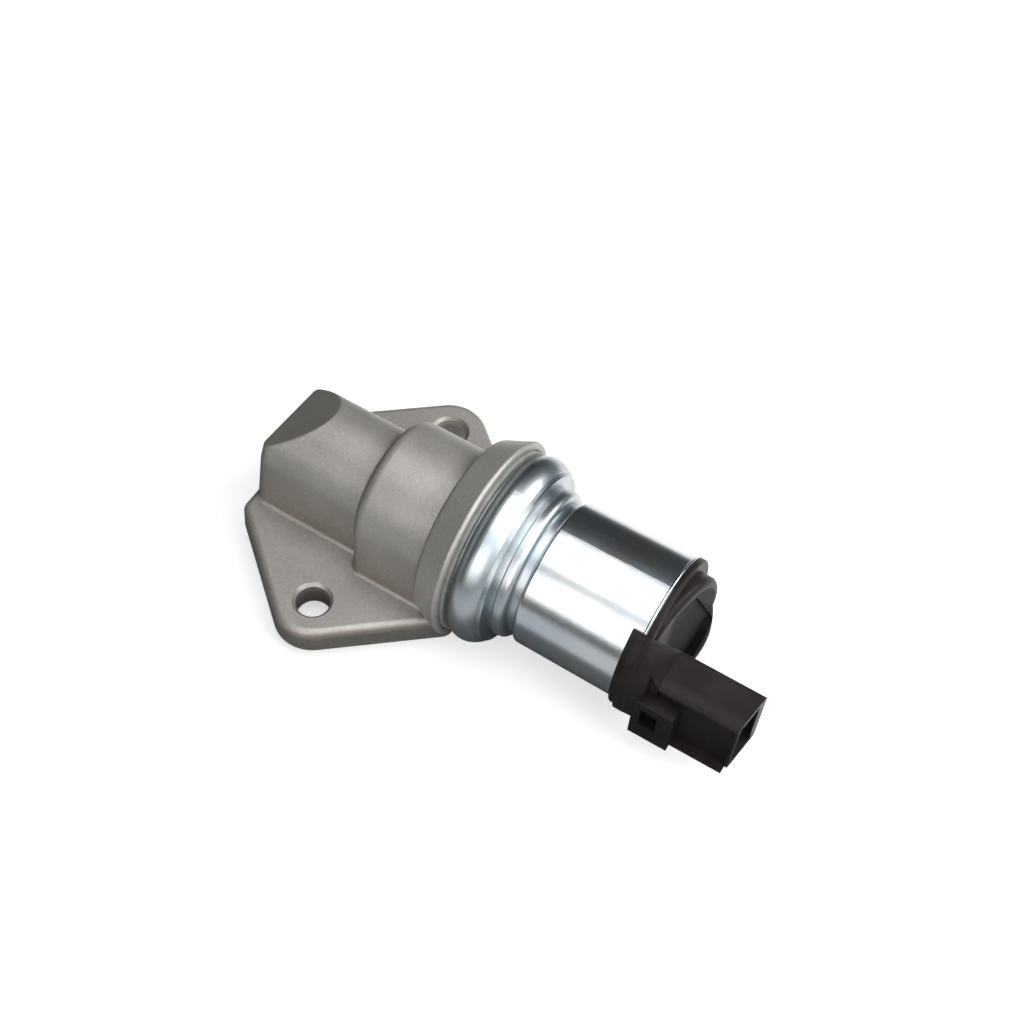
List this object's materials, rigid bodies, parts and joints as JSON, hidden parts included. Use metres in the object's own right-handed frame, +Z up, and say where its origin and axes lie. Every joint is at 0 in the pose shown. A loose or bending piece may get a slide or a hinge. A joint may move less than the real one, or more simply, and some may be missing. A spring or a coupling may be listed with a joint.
{
  "type": "idle air control valve",
  "caption": "Solenoid air valve with a diamond mounting flange, stepped cast housing, plated solenoid can and side connector.",
  "frame": {"origin": "on the mounting face, midway between the two bolt holes", "axes": "+X along the valve's axis towards the connector, +Y through the bolt holes, +Z up from the mounting face"},
  "size_m": [0.1249, 0.0738, 0.0456],
  "materials": {
    "cast_aluminium": "fine sand cast",
    "plated_steel": "bright zinc plate",
    "plain_steel": "turned",
    "black_plastic": "satin moulded",
    "spool_plastic": "moulded",
    "green_rubber": "satin",
    "black_rubber": "satin",
    "bearing_bronze": "turned",
    "copper_wire": "enamelled",
    "tinned_brass": "bright"
  },
  "bodies": {
    "housing": {"valve_body": "cast_aluminium", "seat_ring": "plain_steel", "end_bush": "bearing_bronze", "front_bush": "bearing_bronze", "body_seal": "green_rubber", "solenoid_base": "plated_steel", "yoke_ring": "plated_steel", "solenoid_can": "plated_steel", "guide_tube": "plain_steel", "bobbin": "spool_plastic", "coil_winding": "copper_wire", "rear_plate": "plain_steel", "pole_piece": "plain_steel", "adjusting_screw": "plain_steel", "can_seal": "black_rubber", "end_cap": "black_plastic", "terminal_left": "tinned_brass", "terminal_right": "tinned_brass", "return_spring": "plain_steel"},
    "plunger": {"valve_shaft": "plain_steel", "valve_disc": "plain_steel", "disc_seal": "black_rubber", "disc_clip": "plain_steel", "armature": "plain_steel", "spring_seat": "plain_steel"}
  },
  "joints": [
    {"name": "plunger_slide", "type": "slide", "parent": "housing", "child": "plunger", "axis": [1, 0, 0], "range_m": [0, 0.004], "stiffness_N_per_m": 600, "springref_m": -0.003, "deforming": ["return_spring"]}
  ]
}
